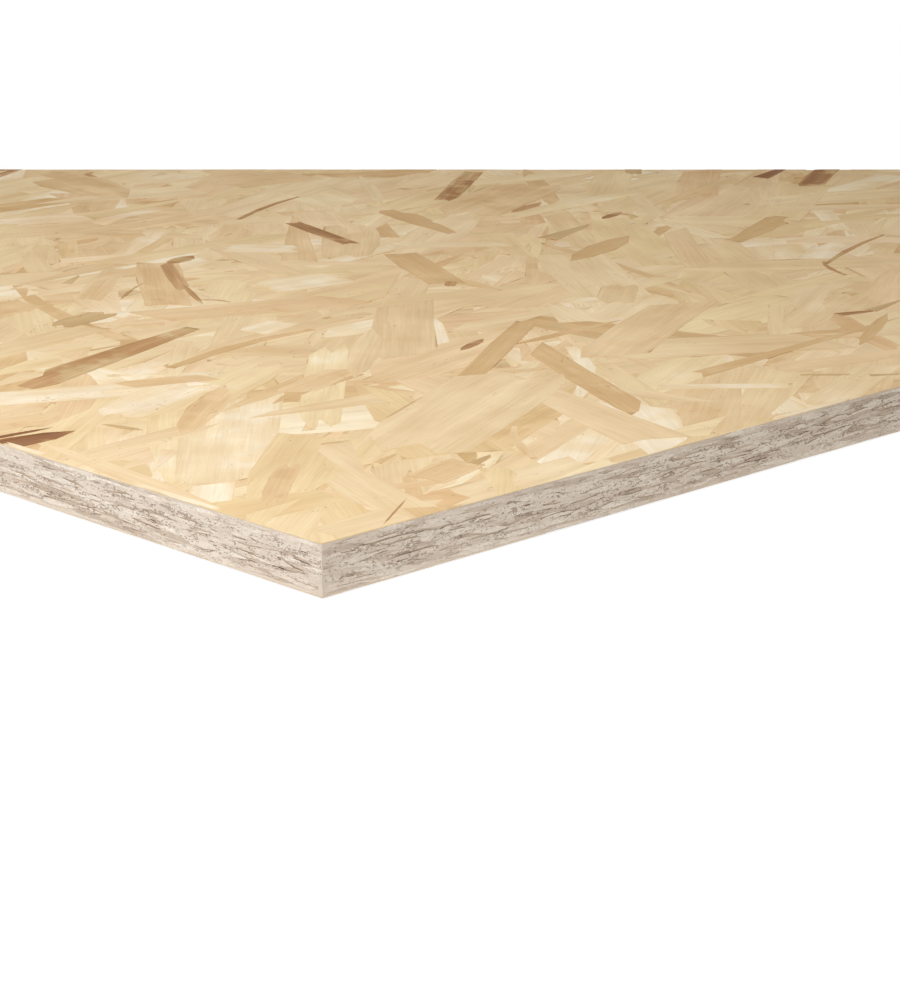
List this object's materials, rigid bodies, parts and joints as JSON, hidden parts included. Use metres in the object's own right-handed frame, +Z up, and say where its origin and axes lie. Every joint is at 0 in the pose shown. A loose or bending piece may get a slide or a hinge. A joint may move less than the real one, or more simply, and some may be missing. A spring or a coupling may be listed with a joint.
{
  "type": "osb board",
  "caption": "Flat square-edged sheet of oriented strand board, pressed from overlapping wood strands, for floors, roofs and walls.",
  "frame": {"origin": "middle of the underside, on the surface that the sheet lies on", "axes": "+X along the 2440 mm length, +Y across the 1220 mm width, +Z up through the 18 mm thickness"},
  "size_m": [2.44, 1.22, 0.018],
  "materials": {
    "strand_board": "pressed and sanded strands, matt, with greyer sawn edges"
  },
  "bodies": {
    "root": {"osb_panel": "strand_board"}
  },
  "joints": []
}
